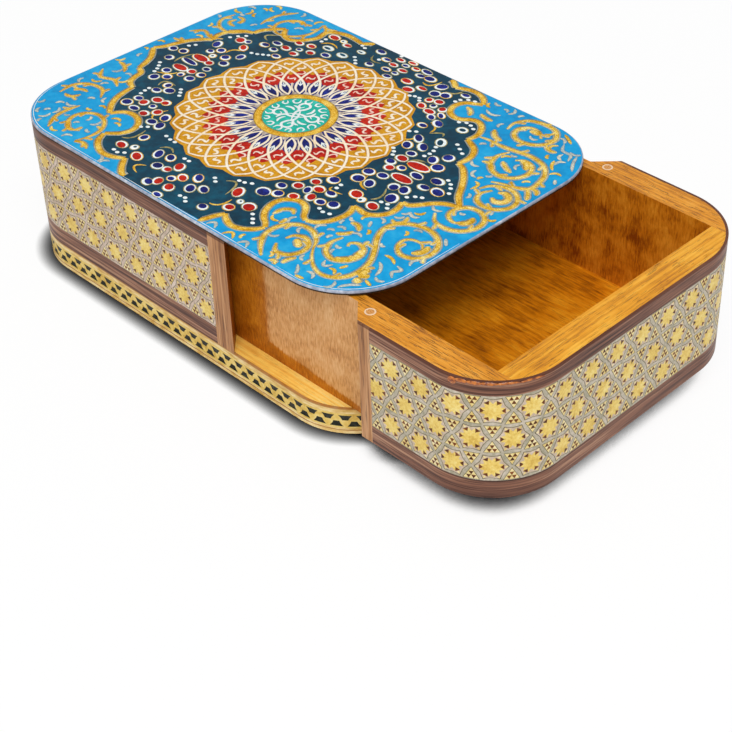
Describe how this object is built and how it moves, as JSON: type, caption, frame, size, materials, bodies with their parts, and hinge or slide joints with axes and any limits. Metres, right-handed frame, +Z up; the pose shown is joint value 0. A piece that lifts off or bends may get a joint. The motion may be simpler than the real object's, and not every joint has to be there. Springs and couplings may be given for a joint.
{
  "type": "inlaid card box with a sliding drawer",
  "caption": "Rounded wooden card box with inlaid sides, a painted top plate and a drawer that slides out lengthwise between the two plates.",
  "frame": {"origin": "centre of the underside of the base plate, on the table", "axes": "+X is the way the drawer opens, +Y to the right of someone facing the drawer's front, +Z up"},
  "size_m": [0.209, 0.11, 0.05],
  "materials": {
    "beech": "varnished beech with ray flecks",
    "walnut": "satin walnut veneer",
    "khatam": "lacquered star-and-triangle marquetry of light, dark and grey slips",
    "light_line": "lacquered light wood line",
    "edge_inlay": "lacquered black band with light staggered lozenges",
    "painted_top": "painted and clear-lacquered board",
    "peg": "pale end-grain peg"
  },
  "bodies": {
    "case": {"base_plate": "beech", "base_edge_lower_line": "light_line", "base_edge_inlay_band": "edge_inlay", "base_edge_upper_line": "light_line", "case_left_wall": "beech", "case_right_wall": "beech", "case_back_wall": "beech", "case_lower_band": "walnut", "case_khatam_panel": "khatam", "case_upper_band": "walnut", "case_left_end_strip": "walnut", "case_right_end_strip": "walnut", "painted_top": "painted_top"},
    "drawer": {"drawer_left_side": "beech", "drawer_left_peg": "peg", "drawer_right_side": "beech", "drawer_right_peg": "peg", "drawer_front": "beech", "drawer_back": "beech", "drawer_floor": "beech", "drawer_lower_band": "walnut", "drawer_khatam_panel": "khatam", "drawer_upper_band": "walnut", "drawer_left_end_strip": "walnut", "drawer_right_end_strip": "walnut"}
  },
  "joints": [
    {"name": "drawer_slide", "type": "slide", "parent": "case", "child": "drawer", "axis": [1, 0, 0], "range_m": [-0.053, 0.037]}
  ]
}
